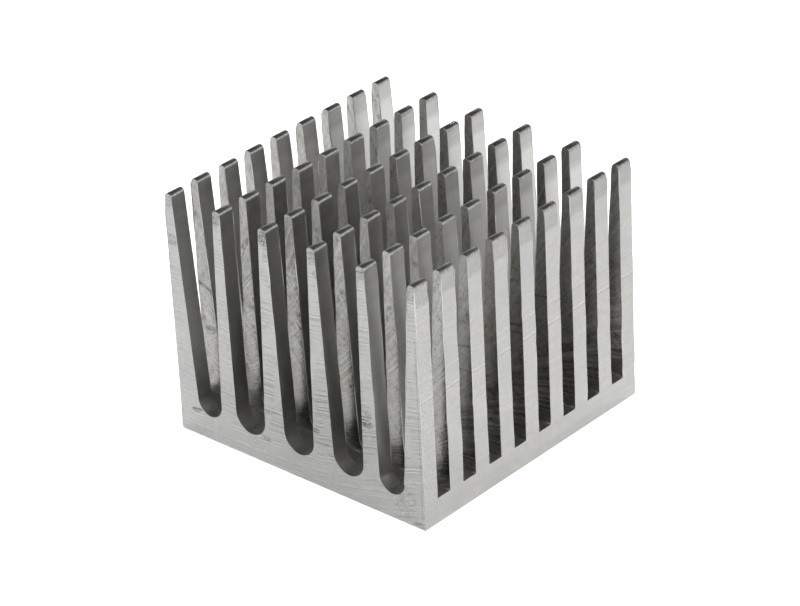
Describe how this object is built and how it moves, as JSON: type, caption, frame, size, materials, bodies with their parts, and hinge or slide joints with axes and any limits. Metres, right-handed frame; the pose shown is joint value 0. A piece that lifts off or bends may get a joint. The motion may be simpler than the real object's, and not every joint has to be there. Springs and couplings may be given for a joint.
{
  "type": "pin-fin heat sink",
  "caption": "Square aluminium heat sink: a flat base with rows of tall tapered pins, cut from an extrusion with round-bottomed channels and cross-sawn slots.",
  "frame": {"origin": "middle of the flat underside", "axes": "+X across the fins, +Y along the extruded channels, +Z from the underside to the pin tips"},
  "size_m": [0.04, 0.04, 0.033],
  "materials": {
    "aluminium": "mill finish, sawn ends"
  },
  "bodies": {
    "root": {"heat_sink": "aluminium"}
  },
  "joints": []
}
